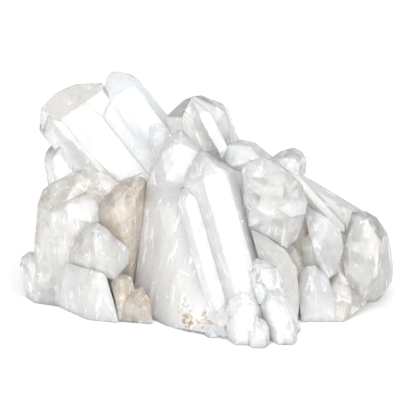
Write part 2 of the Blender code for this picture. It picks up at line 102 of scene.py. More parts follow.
# Ledges: slimmer prisms that stand a little proud of a broad crystal's faces, side by side with it
LEDGE_SEED = 11
LEDGE_MIN_WIDTH = 11.0  # mm, crystals at least this wide have ledges
LEDGE_COUNT = 3
LEDGE_PROUD = (0.25, 0.7)  # mm
LEDGE_WIDTH = (0.22, 0.45)  # for each mm of the crystal's width
LEDGE_RISE = (0.35, 0.9)  # share of the prism's height
LEDGE_ASIDE = (0.4, 1.0)  # share of the way from the middle of a face to its edge

ON_PLANE = 1e-7  # m, corners this near to a cutting plane are on it


@dataclass
class Crystal:
    """One prism with a six-sided point. Lengths are in mm, angles in degrees.

    tip is where the six point faces would meet, and foot is where the prism leaves the mound.
    width is the size across flats. Side 0 faces the front, and the sides are counted to the right.
    roll turns the sides about the axis. sides scales each prism face's distance from the axis.
    drops lowers each point face along the axis, which makes that face the larger and blunts the tip.
    chips are further flat breaks: an outward direction, and the depth of the break below the tip along it.
    ledges says whether a broad crystal has ledges on its faces.
    """

    name: str
    tip: tuple
    foot: tuple
    width: float
    roll: float = 0.0
    sides: tuple = (1, 1, 1, 1, 1, 1)
    drops: tuple = (0, 2, 0, 2, 0, 2)
    chips: tuple = ()
    ledges: bool = True


CRYSTALS = [
    # back left: the two tall prisms and what stands beside them
    Crystal("back_left_low", (-48.3, 25, 50.0), (-43.9, 18, 26.0), 9.3, 10, drops=(0, 2, 1, 2, 0, 3)),
    Crystal("back_left_edge", (-52.0, 27, 56.2), (-33.1, 18, 32.0), 8.0, 15),
    # front left
    Crystal("far_left_low", (-56.2, 9, 17.5), (-53.8, 9, 2.7), 7.0, 0),
    # centre
    Crystal("small_bright", (-15.9, 5, 59.0), (-13.5, 12, 44.0), 5.0, 0),
    Crystal("front_foot", (9.7, -23, 16.9), (10.4, -23, 4.0), 9.0, 0),
    Crystal("front_knob", (13.9, -26.5, 10.6), (14.3, -26.5, 2.0), 6.0, 0),
    Crystal(
        "main_front", (-2.6, 1, 52.3), (12.5, -15.5, 3.6), 14.2, 10, sides=(1.1, 1, 1, 1, 1, 1), ledges=False
    ),
    Crystal("main_front_shoulder", (-7.3, -5, 42.7), (5.0, -19, 1.4), 6.4, 10),
    Crystal("front_stub", (3.3, -31.5, 8.6), (4.6, -22, 7.0), 3.6, 0, drops=(2, 2, 2, 2, 2, 2)),
    Crystal("foot_lump_left", (-6.8, -16, 6.5), (-4.8, -15, -1.0), 5.0, 10),
    Crystal("foot_lump_middle", (-2.5, -18.5, 5.6), (-1.2, -17, -1.0), 4.6, 30),
    Crystal("foot_lump_right", (0.2, -21.5, 5.2), (1.8, -20, -1.0), 4.4, 0),
    # right
    Crystal("right_long", (53.0, 9, 19.5), (25.0, 14, 35.5), 9.0, 0),
    Crystal("right_thin", (43.3, 2, 22.2), (28.7, 4, 38.2), 3.6, 0),
    Crystal("clear_front_low", (17.0, -24, 17.6), (21.3, -24, 3.0), 6.6, 0),
    Crystal("right_cleft", (30.8, 2, 26.0), (33.4, 2, 9.5), 6.0, 15),
    Crystal("clear_front", (13.2, -17, 24.8), (21.3, -17, 3.0), 8.6, 0),
    # back
    Crystal("rear_left_broad", (-38, 34, 44), (-30, 20, 14), 15.0, 5),
    Crystal("rear_left_low", (-44, 27, 26), (-36, 16, 8), 9.0, 15),
    Crystal("rear_left_end", (-46, 33, 16), (-36, 18, 6), 9.0, 0),
    Crystal("rear_left_tall", (-24, 34, 52), (-18, 18, 16), 14.0, 20),
    Crystal("rear_centre_low", (-12, 38, 30), (-8, 20, 10), 13.0, 10),
    Crystal("rear_centre", (2, 34, 50), (3, 20, 8), 20.0, 0),
    Crystal("rear_right", (24, 34, 34), (16, 20, 10), 14.0, 0),
    Crystal("rear_right_low", (38, 30, 22), (30, 16, 8), 12.0, 25),
    Crystal("rear_right_end", (51, 24, 16), (42, 14, 6), 9.0, 0),
    Crystal("rear_foot_left", (-26, 37, 14), (-24, 20, 5), 10.0, 0),
    Crystal("rear_foot_centre", (6, 38, 15), (4, 22, 5), 11.0, 15),
    Crystal("rear_foot_right", (24, 36, 13), (20, 20, 5), 9.0, 0),
]


@dataclass
class Shard:
    """A broken crystal or block: the closed form with flat faces over its corners, which are in mm."""

    name: str
    corners: tuple


SHARDS = [
    Shard("back_left_broad", (
        (-46.8, 23.5, 54.3), (-33, 23.5, 63.4), (-42.4, 32, 63.6), (-33.2, 26.1, 65.2),
        (-48.4, 33.4, 60.7), (-52.2, 32.4, 57.4), (-12.3, 11.6, 38.5), (-25.8, 11.5, 29.1),
        (-53.7, 31, 55.7), (-54.4, 31, 48.5), (-33, 21, 23.7), (-33.5, 36, 62.1), (-48, 38, 59.7),
        (-54.2, 38, 52.1), (-29.3, 36, 23.6), (-12.6, 36, 30.5), (-11.4, 19, 35),
    )),
    Shard("back_left_step", (
        (-46.4, 22.6, 54.5), (-38.3, 22.6, 59.9), (-32.6, 19.8, 55.5), (-18.9, 13.2, 39.9),
        (-27.9, 13, 36.8), (-36.7, 17, 44.3), (-41.3, 20, 49), (-46.8, 26, 54.3), (-38.4, 26, 59.5),
        (-32.7, 24, 54.5), (-19.1, 18, 38.5), (-28.3, 18, 35.3), (-41.8, 24, 47.3),
    )),
    Shard("back_left_tall", (
        (-29.5, 21.5, 61.7), (-23.2, 21.5, 65.8), (-31.8, 28.8, 66.5), (-27.6, 28, 68.6),
        (-25.6, 25, 67.3), (-30.6, 29.5, 68), (-21.6, 26, 66.2), (-23.8, 31, 66.7),
        (-33.1, 27, 62.1), (-32.6, 20, 55.4), (-18.7, 10, 40.5), (-2.8, 9.5, 41), (-8.9, 9.5, 36.8),
        (-0.9, 16, 42.3), (-21.3, 32, 64.3), (-32.5, 36, 62.8), (-26.8, 38, 65.7), (-12.2, 24, 30.8),
        (-1, 26, 38.5),
    )),
    Shard("left_block", (
        (-42.2, 0.5, 30.4), (-43.3, 0, -1), (-47.4, 3, 29.9), (-54.1, 8, 17.8), (-54.7, 4, -1),
        (-49.2, 2.5, -1.4), (-52.7, 9, 30.5), (-51.4, 12, 34.5), (-42.5, 1.2, 32.4),
        (-39.6, 6, 35.4), (-32.1, 7, 34.7), (-33.3, 1.5, 27.2), (-37.5, 0.8, 28.1), (-34, 4, 1),
        (-34.1, 3, -4.7), (-49, 13, 36.4), (-45.4, 14, 37.7), (-39.7, 14, 39.7), (-34.7, 13, 39),
        (-48, 22, 11), (-35, 22, 11), (-55, 20, -5.6), (-35.3, 20, -5.6),
    )),
    Shard("crown_right", (
        (-37.7, 6, 36.3), (-37.9, 9, 39.6), (-36.2, 10, 40.9), (-34, 10, 41.8), (-30.6, 9, 40.2),
        (-27.1, 7, 38.2), (-31.5, 4, 34.7), (-33.3, 4.5, 36.8), (-27.6, 6, 28.3), (-34.5, 5, 30.2),
        (-37.6, 18, 38.5), (-29.3, 18, 32.6),
    )),
    Shard("crown_left", (
        (-50.7, 8.5, 32.3), (-49.7, 11, 35.1), (-45.7, 11.5, 38.2), (-40.9, 11, 40.9),
        (-37.5, 11, 41.5), (-35.1, 8, 39.8), (-35.6, 6, 36.6), (-39.5, 4.8, 35.4),
        (-43.5, 2.5, 33.3), (-47.5, 4.5, 31.7), (-40.1, 6, 38.5), (-46.3, 20, 32), (-38.6, 20, 35.3),
    )),
    Shard("brown", (
        (-33.7, 3, 29.3), (-31.4, 3, 35), (-27.2, 4, 39.1), (-24.3, 6, 40.1), (-20.4, 7, 40.5),
        (-18.6, 7, 38.9), (-19, 5, 28.6), (-19.9, 4, 20.9), (-23.1, 1, 7.2), (-27.6, 0, 7.6),
        (-31.8, 1, 26.4), (-28.6, -2.5, 33.3), (-24.8, -1, 37.5), (-21.3, 0, 36.3),
        (-25.7, -3.5, 27.3), (-23.2, -2, 25.2), (-31.4, 20, 18.6), (-21.6, 20, 28.7),
        (-28.1, 12, -2.3), (-27.4, 2, -2.2),
    )),
    Shard("left_front_small", (
        (-41.3, -3, 19.8), (-40.1, -2, 23), (-36.9, -2, 27.5), (-33.2, -2.5, 28.9),
        (-30.2, -3, 27.2), (-23.1, -5, 20.6), (-24, -6, 16.8), (-27.9, -7, 11.7),
        (-32.6, -7.5, 13.8), (-37.2, -6, 15.5), (-42.3, -3, 16.3), (-33.8, -7, 26),
        (-32.9, -9.5, 20.3), (-28.5, -9, 18.6), (-37.4, -6.5, 18.9), (-33.6, 8, 16.1),
        (-38.3, 8, 16.1), (-30.5, 6, 10.3),
    )),
    Shard("left_foot", (
        (-43.4, -4, 16.7), (-32.5, -8.5, 15.5), (-30.4, -9, 14.4), (-27.8, -11, 5.6),
        (-26.6, -12, 0.2), (-36.2, -9.5, 0.1), (-39.6, -3, -0.1), (-46.5, 1, -0.4),
        (-34.5, -10.5, 13.1), (-40.6, -7.5, 8.4), (-34.1, 8, -0.7), (-43.6, 8, -0.7),
    )),
    Shard("brown_base", (
        (-29.4, -7, 11.4), (-28.3, -6, 12.9), (-26.2, -5.5, 13.7), (-23.2, -5.5, 12.7),
        (-21.9, -8, 9.2), (-25, -11, 7.9), (-28.4, -9.5, 9.5), (-27.4, -11, 6.9), (-26.7, -11, -0.6),
        (-25.6, -10, 12), (-26, 6, 3.5), (-21.2, 4, 1), (-22.6, 0, -0.7),
    )),
    Shard("base_shard", (
        (-27.6, -9, 6.1), (-22.4, -9, 9.6), (-19.7, -9, 10.9), (-17.3, -11, 7.2), (-16.4, -13, 0.6),
        (-26.5, -10.5, -0.8), (-20.8, -12, 8.9), (-21.4, 6, 0.2),
    )),
    Shard("left_tip", (
        (-8.4, 8, 54.9), (-12.6, 7, 52.1), (-15, 5, 48.6), (-17.8, 4, 40.7), (-8, 2, 51.8),
        (-10.1, 2, 51.5), (-13.7, 2.5, 49.2), (-1.8, 6, 49.8), (-2.4, 2, 48.8), (-6.5, -1, 40),
        (-12.8, 0, 41.3), (-17.7, 5, 33.4), (-9.5, 0.5, 47.3), (-2.5, 16, 49.4), (-11.7, 16, 49.4),
        (-15, 14, 30.6), (-4, 8, 34.1),
    )),
    Shard("main_left", (
        (-18.2, 5, 39.8), (-22.7, 0, 8), (-7.3, -17, 6.9), (-15.9, 1.5, 36.1), (-20.8, -5.5, -3),
        (-7, -18.9, 1.6), (-19.5, 3.1, 29.3), (1.2, -11.8, 19.6), (-6.6, -0.8, 35.9),
        (-9.6, 1.4, 38.7), (-14.4, 2.4, 38.4), (5.8, -23.5, 0.8), (-17.5, 6, 43.3), (-15.1, 7, 47.7),
        (-13, 6.5, 47.2), (-10.9, 5.5, 45.9), (-7.2, 3.5, 42.7), (-2.4, 8, 35.7), (-15.2, 18, 29.3),
        (-2.5, 12, 11.3), (-21.4, 8, 2.7), (-8.9, 8, -4.1), (3.7, 0, -0.7),
    )),
    Shard("back_centre", (
        (-4.6, 14, 63.7), (-2.1, 16, 63.6), (4.3, 20, 60.2), (6.5, 20, 58), (10, 20, 48),
        (-13.7, 20, 55.4), (-7.6, 16, 62), (-15.1, 24, 51.2), (-13.2, 20, 45.1), (-7.8, 9, 58.1),
        (-0.6, 4, 49.5), (-5.4, 6, 45.8), (5.5, 13, 59), (7.3, 10, 47.8), (-2.5, 28, 59.3),
        (7, 30, 54), (10.4, 32, 41.9), (-13.9, 34, 48.1), (-5.8, 32, 56.8),
    )),
    Shard("centre_strip", (
        (-4.8, 12, 63.8), (-2.7, 5.5, 59.5), (-1.5, 6.5, 60.8), (0.9, 7, 60.1), (5.9, 2, 50.9),
        (3.3, 1, 49.6), (4.2, 2, 46.9), (-0.9, 14, 53.1), (5.2, 12, 47.3), (2.1, 12, 57.3),
    )),
    Shard("right_block", (
        (9.8, 0, 45.3), (12.6, 3, 46.6), (16.8, 4, 47), (21, 4, 45.7), (22.7, 1, 44.1),
        (28.1, 0, 40), (29.6, -1, 35.3), (29.3, -2, 31.3), (26.9, -4, 24.4), (23.5, -7, 21.9),
        (18.9, -9, 26.1), (15.9, -9.5, 27.9), (12, -10, 29.9), (10.3, -6, 36.9), (15.9, -6, 40),
        (21.9, -8, 38.2), (22.5, -10, 33.6), (17.5, -11, 33.9), (12.3, -9, 36.3), (13.2, 18, 40.8),
        (29, 18, 32.6), (27.3, 12, 19.7), (14.6, 8, 22.7),
    )),
    Shard("right_block_lip", (
        (10.6, -6, 39.4), (12.9, -6.5, 40.2), (15.7, -9, 39.1), (14.6, -10, 36.4), (12, -9.5, 34.4),
        (10.3, -7, 36), (13, -4, 36.3), (14.2, -5, 35.1),
    )),
    Shard("right_block_shield", (
        (20.5, -7, 38.2), (27.3, -2, 40), (29.8, -2, 35.3), (29.1, -4, 31.9), (24.2, -11, 33),
        (19.8, -10.5, 35.6), (23.9, -10, 37.6), (27.8, 2, 31.2), (23.1, 0, 35),
    )),
    Shard("right_knob", (
        (18.8, 7, 46.1), (22.1, 8, 48.1), (26.1, 9, 49), (28.6, 9, 47.8), (30.1, 8, 45.2),
        (29.7, 6, 42), (27.7, 3, 40.1), (23.3, 2, 44.4), (24.5, 3, 47.2), (26.9, 2.5, 46.8),
        (21.7, 4, 43.2), (23.9, 16, 44.6), (29.5, 16, 43.6), (28.7, 16, 37.2), (20.9, 16, 41.4),
    )),
    Shard("right_ridge", (
        (9.7, 11, 51), (14.3, 11, 50.1), (19.8, 9, 45.9), (16.3, 5, 46.1), (11.4, 4, 45.7),
        (6.6, 2, 44.7), (3, 5, 48.6), (6, 6, 50.5), (12.3, 6.5, 50), (9.6, 3, 42.9), (18.2, 7, 41.7),
        (10.1, 22, 46.2), (19.5, 20, 41.9),
    )),
    Shard("right_middle", (
        (28.7, 2, 33.4), (32.2, 0, 31.2), (36.7, -1, 29.3), (40.4, -1, 24.9), (41.1, -2, 19.8),
        (38.6, -5, 13.8), (35.4, -7, 11.7), (32.7, -6, 17.4), (30.3, -3.5, 24.8), (36.6, 12, 23),
        (41.6, 12, 14.7), (36.7, 8, 7.8),
    )),
    Shard("right_end", (
        (44.1, 6, 29.3), (48.5, 7, 29.3), (52, 7, 27.3), (55.6, 7, 22.1), (56.8, 7, 17.5),
        (56.9, 6, 12.9), (57.7, 5, 10.6), (57, 3, 7.8), (54.7, 1, 4.6), (51.1, -0.5, 2.9),
        (46.1, -1.5, 2.3), (41.7, -3, 8.8), (41.2, 1, 18.7), (42.8, 3, 23.5), (44, 2, 27.4),
        (48.6, 2.5, 27.9), (52.3, 1, 21.9), (51.8, -2, 11.7), (46.8, -4, 6.9), (42.5, -3, 13.1),
        (48.5, 20, 23.7), (56.9, 20, 15.2), (57.4, 18, -1.3), (46.1, 18, -1.3),
    )),
    Shard("right_front", (
        (27.4, -5, 13.8), (29.4, -6, 16.2), (32.4, -6, 16.5), (36.3, -7, 12.4), (38.1, -9, 6.4),
        (38.4, -11, 0.1), (28.2, -11, 0.1), (26.8, -8, 7.6), (31, -10, 11.6), (33.6, 8, 6.1),
        (38.3, 6, 0.2), (30.5, 6, 0.2),
    )),
    Shard("right_matrix", (
        (36.2, -3, 10.1), (40.1, -2, 13.3), (43.3, -5, 8.3), (48.5, -4, 3.3), (43.9, -7, 1.6),
        (40.8, -11, 0.1), (36.6, -11, 0.1), (36.5, -7, 5.6), (43.3, 8, -0.7), (40.1, 8, -0.7),
    )),
    Shard("right_of_main", (
        (12.3, -11, 29.9), (17, -10, 27.1), (23.1, -9, 22.4), (26.5, -8, 16.3), (27.5, -10, 6.8),
        (26.5, -14, -0.2), (22.7, -17, 0.2), (17.5, -18, 13.3), (14.5, -15, 23), (16.7, 6, 20.2),
        (25.5, 6, 10.3), (25.4, 0, -4),
    )),
    Shard("glass_sliver", (
        (11.5, -19, 19.6), (13.8, -19, 19.9), (15.5, -23, 14.7), (17.7, -25, 11.2),
        (14.6, -23.5, 11.2), (16.7, -20, 16.3), (14.3, -12, 7.6),
    )),
]


@dataclass
class Lump:
    """A block of massive quartz with flat broken faces. Its box is in mm, and seed sets its faces."""

    name: str
    low: tuple
    high: tuple
    seed: int
    faces: int = 16


LUMPS = [
    Lump("mound_left", (-52, 6, -14), (-12, 34, 26), 1),
    Lump("mound_centre", (-24, -4, -18), (28, 34, 34), 2),
    Lump("mound_right", (10, -4, -14), (54, 28, 22), 3),
    Lump("mound_right_high", (16, 4, 4), (48, 24, 32), 4),
]


def cut(bm, point, outward):
    """Cuts off what lies outward of a plane and closes the cut."""
    geometry = bm.verts[:] + bm.edges[:] + bm.faces[:]
    result = bmesh.ops.bisect_plane(
        bm, geom=geometry, dist=ON_PLANE, plane_co=point, plane_no=outward, clear_outer=True
    )
    edges = [item for item in result["geom_cut"] if isinstance(item, bmesh.types.BMEdge)]
    if edges:
        bmesh.ops.contextual_create(bm, geom=edges)


def block():
    bm = bmesh.new()
    bmesh.ops.create_cube(bm, size=2 * BLANK * MM)
    return bm


def crystal_mesh(spec):
    """The crystal, cut from a block standing on its axis and then laid where it grows."""
    tip, foot = Vector(spec.tip) * MM, Vector(spec.foot) * MM
    length = (tip - foot).length
    bm = block()
    for number in range(6):
        side = side_direction(spec, number)
        cut(bm, side * spec.width / 2 * spec.sides[number] * MM, side)
        slope = math.sin(POINT_LEAN) * side + Vector((0.0, 0.0, math.cos(POINT_LEAN)))
        cut(bm, Vector((0.0, 0.0, length - spec.drops[number] * MM)), slope)
        slope.z = -slope.z
        cut(bm, Vector((0.0, 0.0, -(ROOT + spec.width * ROOT_POINT) * MM)), slope)
    place = crystal_frame(spec).to_4x4()
    place.translation = foot
    bmesh.ops.transform(bm, matrix=place, verts=bm.verts)
    for direction, depth in spec.chips:
        outward = Vector(direction).normalized()
        cut(bm, tip - outward * depth * MM, outward)
    return bm


def shard_mesh(spec):
    """The smallest bulging form over the corners."""
    bm = bmesh.new()
    for corner in spec.corners:
        bm.verts.new(Vector(corner) * MM)
    hull = bmesh.ops.convex_hull(bm, input=bm.verts)
    spare = hull["geom_interior"] + hull["geom_unused"]
    inside = {item for item in spare if isinstance(item, bmesh.types.BMVert)}
    bmesh.ops.delete(bm, geom=list(inside), context="VERTS")
    return bm


def lump_mesh(spec):
    """A rough block: a box, cut round by planes that face every way."""
    rng = random.Random(spec.seed)
    low, high = Vector(spec.low) * MM, Vector(spec.high) * MM
    centre, half = (low + high) / 2, (high - low) / 2
    bm = block()
    for number in range(spec.faces):
        # directions spread evenly over a sphere, each a little off its place
        height = 1 - 2 * (number + 0.5) / spec.faces
        turn = number * EVEN_TURN + rng.uniform(-LUMP_STRAY, LUMP_STRAY)
        ring = math.sqrt(1 - height * height)
        outward = Vector((ring * math.cos(turn), ring * math.sin(turn), height))
        reach = Vector([outward[k] * half[k] for k in range(3)])
        normal = Vector([outward[k] / half[k] for k in range(3)]).normalized()
        cut(bm, centre + reach * rng.uniform(*LUMP_REACH), normal)
    return bm


def sprigs():
    """Small crystals over the back and the ends of the mound, pointing outward."""
    rng = random.Random(SPRIG_SEED)
    found = []
    for number in range(SPRIG_COUNT):
        first, last = SPRIG_TURN
        turn = math.radians(first + (last - first) * (number + rng.random()) / SPRIG_COUNT)
        rise = math.radians(rng.uniform(*SPRIG_RISE))
        outward = Vector((math.cos(turn) * math.cos(rise), math.sin(turn) * math.cos(rise), math.sin(rise)))
        foot = DOME_CENTRE + Vector([outward[k] * DOME_RADII[k] for k in range(3)])
        lean = Vector([rng.uniform(-SPRIG_LEAN, SPRIG_LEAN) for k in range(3)])
        tip = foot + (outward + lean).normalized() * rng.uniform(*SPRIG_LENGTH)
        width = rng.uniform(*SPRIG_WIDTH)
        roll = rng.uniform(0, SIDE_TURN)
        found.append(Crystal(f"sprig_{number:02d}", tuple(tip), tuple(foot), width, roll))
    return found


def crystal_frame(spec):
    """The crystal's own axes in the world: local -Y is its front, and local Z its long axis."""
    axis = (Vector(spec.tip) - Vector(spec.foot)).normalized()
    front = (FRONT - FRONT.dot(axis) * axis).normalized()
    right = axis.cross(front)
    return Matrix((right, -front, axis)).transposed()


def side_direction(spec, number):
    """The way that a prism face looks, in the crystal's own axes."""
    turn = math.radians(spec.roll + SIDE_TURN * number)
    return Vector((math.sin(turn), -math.cos(turn), 0.0))


def ledges():
    """Slim parallel prisms on the faces of the broad crystals, each ending below its host's point."""
    rng = random.Random(LEDGE_SEED)
    found = []
    for host in CRYSTALS:
        if host.width < LEDGE_MIN_WIDTH or not host.ledges:
            continue
        frame = crystal_frame(host)
        tip, foot = Vector(host.tip), Vector(host.foot)
        shoulder = (tip - foot).length - ROOT_POINT * host.width
        for number in rng.sample(range(6), LEDGE_COUNT):
            width = host.width * rng.uniform(*LEDGE_WIDTH)
            outward = side_direction(host, number)
            along = Vector((0.0, 0.0, 1.0)).cross(outward)
            out = host.width / 2 * host.sides[number] + rng.uniform(*LEDGE_PROUD) - width / 2
            to_edge = (host.width / math.sqrt(3) - width) / 2
            aside = rng.choice((-1, 1)) * to_edge * rng.uniform(*LEDGE_ASIDE)
            shift = outward * out + along * aside
            height = shoulder * rng.uniform(*LEDGE_RISE)
            start = foot + frame @ shift
            end = start + frame @ Vector((0.0, 0.0, height))
            name = f"{host.name}_ledge_{number}"
            found.append(Crystal(name, tuple(end), tuple(start), width, host.roll))
    return found


def add_object(name, bm, collection):
    bmesh.ops.recalc_face_normals(bm, faces=bm.faces)
    mesh = bpy.data.meshes.new(name)
    bm.to_mesh(mesh)
    bm.free()
    obj = bpy.data.objects.new(name, mesh)
    collection.objects.link(obj)
    return obj


def below_floor():
    """A block that fills everything under z = 0, for the flat cut."""
    bm = block()
    bmesh.ops.translate(bm, vec=Vector((0.0, 0.0, -BLANK * MM)), verts=bm.verts)
    cutter = add_object("below_floor", bm, bpy.context.scene.collection)
    cutter.hide_render = True
    cutter.display_type = "WIRE"
    return cutter


def outer_shell(bm):
    """Keeps the outermost skin, so that no sealed gap is left between the crystals inside the solid."""
    shells = []
    left = set(bm.faces)
    while left:
        shell = {left.pop()}
        edge_of = list(shell)
        while edge_of:
            face = edge_of.pop()
            for edge in face.edges:
                for other in edge.link_faces:
                    if other in left:
                        left.remove(other)
                        shell.add(other)
                        edge_of.append(other)
        shells.append(shell)
    shells.sort(key=len)
    inner = [face for shell in shells[:-1] for face in shell]
    bmesh.ops.delete(bm, geom=inner, context="FACES")


def united_mesh(collection, cutter):
    """Joins the pieces into one solid with an exact Boolean, and cuts it off flat."""
    seed = add_object("seed", block_of_quartz(), bpy.context.scene.collection)
    join = seed.modifiers.new("join", "BOOLEAN")
    join.operation = "UNION"
    join.operand_type = "COLLECTION"
    join.collection = collection
    join.solver = "EXACT"
    flat = seed.modifiers.new("flat", "BOOLEAN")
    flat.operation = "DIFFERENCE"
    flat.object = cutter
    flat.solver = "EXACT"
    bpy.context.view_layer.update()
    graph = bpy.context.evaluated_depsgraph_get()
    bm = bmesh.new()
    bm.from_mesh(seed.evaluated_get(graph).to_mesh())
    bpy.data.objects.remove(seed)
    return bm


def block_of_quartz():
    """The heart of the mound, which every other piece is joined to."""
    bm = block()
    bmesh.ops.scale(bm, vec=Vector((HEART, HEART, HEART)), verts=bm.verts)
    return bm


# ---- what is particular to the looks ------------------------------------------------------------

EDGE_SOFTNESS = 0.030  # bevel for each mm of a crystal's width
EDGE_SOFTEST = 0.26  # mm, the widest bevel
EDGE_SHARPEST = 0.07  # mm, the narrowest
DISSOLVED = 0.5  # edges shorter than this share of the bevel are closed up before it
SHARP_TURN = math.radians(6)  # edges that turn less than this stay as they are
BLOCK_WIDTH = 8.0  # mm, the width that shards and lumps wear like
LUMP_AXIS = (Vector((0.0, 0.0, -0.05)), Vector((0.0, 0.0, 0.1)))  # m, a lump's milk thins out upward
PRISM_TILT = 0.25  # a face whose normal is this little along the axis is a prism face

# The way that a broken crystal grew, where it isn't upright
SHARD_AXES = {
    "back_left_broad": (-0.54, 0.35, 0.76),
    "back_left_step": (-0.54, 0.35, 0.76),
    "back_left_tall": (-0.54, 0.35, 0.76),
    "back_centre": (-0.2, 0.2, 0.95),
    "centre_strip": (-0.45, 0.1, 0.85),
    "left_tip": (-0.45, 0.1, 0.85),
    "main_left": (0.25, 0.2, 0.95),
    "right_of_main": (-0.3, 0.1, 0.95),
    "right_middle": (-0.4, 0.1, 0.9),
    "glass_sliver": (-0.3, 0.0, 0.95),
}

# How each crystal looks, where it differs from the usual: milk (0 clear, 1 white), stain (0 none, 1 brown),
# the bluish-white share (0 warm grey, 1 bluish white) and broken (0 flat faces, 1 shattered ones). The bluish
# white is partly the milky quartz's own tint and partly a painted reflection of the cool softbox light.
USUAL = {"milk": 0.45, "stain": 0.05, "frost_and_reflection": 0.3, "broken": 0.3}
LOOKS = {
    "back_left_broad": {"milk": 0.2, "stain": 0.08, "frost_and_reflection": 0.0, "broken": 0.1},
    "back_left_step": {"milk": 0.34, "stain": 0.0, "frost_and_reflection": 1.0, "broken": 0.05},
    "back_left_tall": {"milk": 0.42, "stain": 0.0, "frost_and_reflection": 0.9, "broken": 0.08},
    "back_left_low": {"milk": 0.25, "frost_and_reflection": 0.5, "broken": 0.6},
    "back_left_edge": {"milk": 0.22, "stain": 0.08, "frost_and_reflection": 0.5, "broken": 0.4},
    "back_centre": {"milk": 0.2, "stain": 0.1, "frost_and_reflection": 0.2, "broken": 0.15},
    "centre_strip": {"milk": 0.5, "stain": 0.0, "frost_and_reflection": 0.8, "broken": 0.1},
    "left_tip": {"milk": 0.38, "frost_and_reflection": 0.4, "broken": 0.2},
    "small_bright": {"milk": 0.64, "stain": 0.0, "frost_and_reflection": 0.7, "broken": 0.1},
    "far_left_low": {"milk": 0.4, "frost_and_reflection": 0.5, "broken": 0.6},
    "left_block": {"milk": 0.44, "stain": 0.08, "frost_and_reflection": 0.15, "broken": 0.6},
    "left_front_small": {"milk": 0.44, "stain": 0.08, "frost_and_reflection": 0.1, "broken": 0.4},
    "left_foot": {"milk": 0.55, "stain": 0.08, "frost_and_reflection": 0.1, "broken": 0.35},
    "crown_left": {"milk": 0.35, "stain": 0.24, "frost_and_reflection": 0.1, "broken": 0.7},
    "crown_right": {"milk": 0.35, "stain": 0.28, "frost_and_reflection": 0.1, "broken": 0.7},
    "brown": {"milk": 0.45, "stain": 0.58, "frost_and_reflection": 0.0, "broken": 0.4},
    "brown_base": {"milk": 0.6, "stain": 0.62, "frost_and_reflection": 0.0, "broken": 0.6},
    "base_shard": {"milk": 0.45, "stain": 0.6, "frost_and_reflection": 0.0, "broken": 0.5},
    "main_front": {"milk": 0.5, "stain": 0.0, "frost_and_reflection": 0.55, "broken": 0.25},
    "main_front_shoulder": {"milk": 0.52, "stain": 0.0, "frost_and_reflection": 0.45, "broken": 0.25},
    "main_left": {"milk": 0.54, "stain": 0.06, "frost_and_reflection": 0.15, "broken": 0.08},
    "front_foot": {"milk": 0.7, "stain": 0.0, "frost_and_reflection": 0.6, "broken": 0.5},
    "front_stub": {"milk": 0.6, "stain": 0.15, "frost_and_reflection": 0.2, "broken": 0.4},
    "clear_front": {"milk": 0.49, "stain": 0.0, "frost_and_reflection": 0.5, "broken": 1.2},
    "clear_front_low": {"milk": 0.6, "stain": 0.0, "frost_and_reflection": 0.5, "broken": 1.0},
    "glass_sliver": {"milk": 0.65, "stain": 0.05, "frost_and_reflection": 0.5},
    "front_knob": {"milk": 0.66, "stain": 0.15, "frost_and_reflection": 0.2, "broken": 0.4},
    "right_block": {"milk": 0.34, "frost_and_reflection": 0.2, "broken": 0.6},
    "right_block_shield": {"milk": 0.5, "frost_and_reflection": 0.2, "broken": 0.5},
    "right_ridge": {"milk": 0.42, "frost_and_reflection": 0.4, "broken": 0.4},
    "right_knob": {"milk": 0.35, "stain": 0.08, "frost_and_reflection": 0.3, "broken": 0.9},
    "right_long": {"milk": 0.45, "stain": 0.05, "frost_and_reflection": 0.5, "broken": 0.1},
    "right_thin": {"milk": 0.4, "stain": 0.12, "frost_and_reflection": 0.3, "broken": 0.3},
    "right_middle": {"milk": 0.39, "frost_and_reflection": 0.2, "broken": 0.4},
    "right_end": {"milk": 0.24, "stain": 0.12, "frost_and_reflection": 0.25, "broken": 0.2},
    "right_front": {"milk": 0.56, "frost_and_reflection": 0.2, "broken": 0.4},
    "right_of_main": {"milk": 0.56, "stain": 0.15, "frost_and_reflection": 0.1, "broken": 0.4},
    "right_matrix": {"milk": 0.5, "stain": 0.4, "frost_and_reflection": 0.3, "broken": 1.0},
    "right_cleft": {"milk": 0.85, "stain": 0.04, "frost_and_reflection": 0.1, "broken": 0.3},
    "mound_right": {"milk": 0.72, "stain": 0.05, "frost_and_reflection": 0.1, "broken": 0.7},
    "mound_right_high": {"milk": 0.75, "stain": 0.05, "frost_and_reflection": 0.1, "broken": 0.6},
    "rear_centre": {"milk": 0.5, "broken": 0.4},
    "mound_centre": {"milk": 0.5, "stain": 0.1, "broken": 0.7},
    "foot_lump_right": {"milk": 0.75, "stain": 0.0, "frost_and_reflection": 0.5, "broken": 0.5},
    "mound_left": {"milk": 0.5, "stain": 0.12, "frost_and_reflection": 0.1, "broken": 0.8},
}

# Places where iron stain has settled: middle and radius in mm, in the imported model's axes, and how brown
STAIN_SPOTS = [
    ((-51.3, 3.9, 27.3), 4.0, 0.5),
    ((-52.6, 4.0, 20.7), 4.0, 0.5),
    ((-50.6, 4.2, 32.1), 4.0, 0.4),
    ((-38.5, -8.3, 22.5), 3.0, 0.6),
    ((-6.5, -21.1, 7.8), 2.0, 0.9),
    ((-5.9, -22.4, 5.2), 2.2, 1.2),
    ((-5.7, -23.0, 2.8), 2.4, 1.3),
    ((-1.8, -23.6, 5.4), 2.0, 0.9),
    ((0.0, -24.7, 4.0), 2.0, 0.8),
    ((26.7, -1.8, 16.3), 6.0, 0.4),
    ((27.7, -5.8, 11.3), 5.0, 0.4),
    ((30.4, 1.1, 24.0), 5.0, 0.4),
    ((42.1, 3.3, 30.1), 2.5, 0.6),
]


def looks_of(name):
    """The looks of a crystal, or of the crystal that a ledge stands on."""
    host = name.split("_ledge")[0]
    return USUAL | LOOKS.get(host, {})


def size_of(spec):
    """Width of a piece, in mm, as far as its edges' wear goes."""
    return spec.width if isinstance(spec, Crystal) else BLOCK_WIDTH


